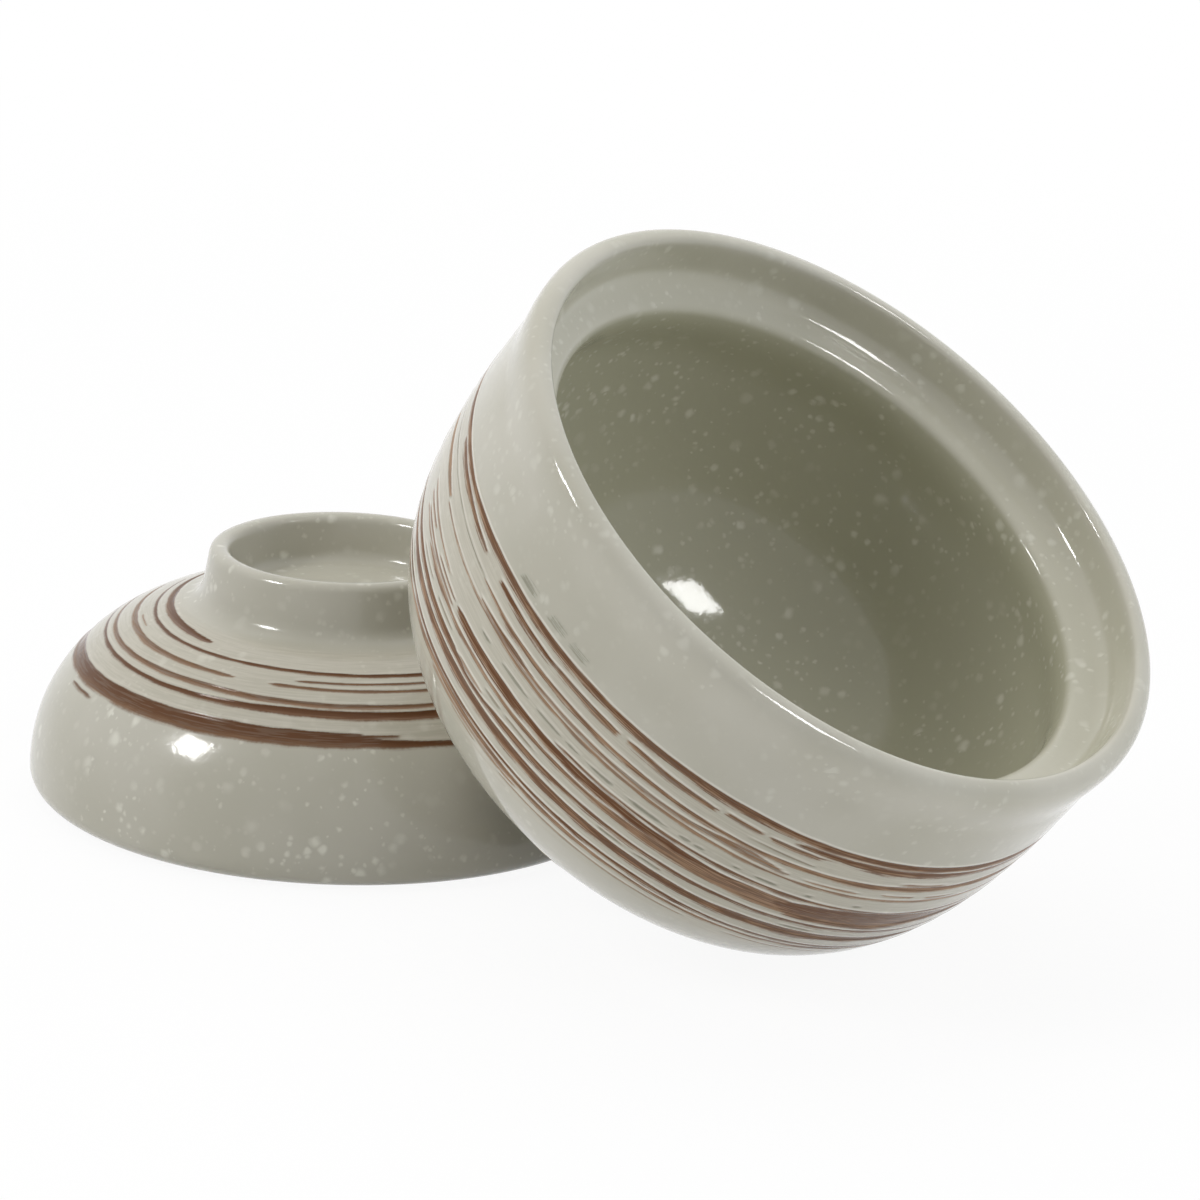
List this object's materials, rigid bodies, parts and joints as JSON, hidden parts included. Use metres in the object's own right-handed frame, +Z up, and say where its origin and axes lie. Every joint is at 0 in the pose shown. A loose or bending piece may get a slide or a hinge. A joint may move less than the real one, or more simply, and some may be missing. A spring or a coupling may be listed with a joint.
{
  "type": "soup bowl with lid",
  "caption": "Round-bellied glazed stoneware soup bowl on a foot ring, with a lid gallery inside its lip, lying tipped beside its domed lid with a ring knob; holds soup and keeps it warm.",
  "frame": {"origin": "on the table, below the middle of the pair's bounding box", "axes": "+Z up from the table, which is also the lid's axis; +Y away from the picture's viewpoint; +X to its right. The lid stands on its rim at -X +Y and the bowl's mouth faces +X -Y, tipped 37.5 degrees from upright"},
  "size_m": [0.2216, 0.2034, 0.1292],
  "materials": {
    "bowl_glaze": "gloss grey-green glaze with white speckles and brushed brown and cream bands",
    "lid_glaze": "gloss grey-green glaze with white speckles and brushed brown and cream bands"
  },
  "bodies": {
    "lid": {"lid": "lid_glaze"},
    "bowl": {"bowl": "bowl_glaze"}
  },
  "joints": [
    {"name": "bowl_lift", "type": "slide", "parent": "lid", "child": "bowl", "axis": [0, 0, 1], "range_m": [0, 0.12]}
  ]
}
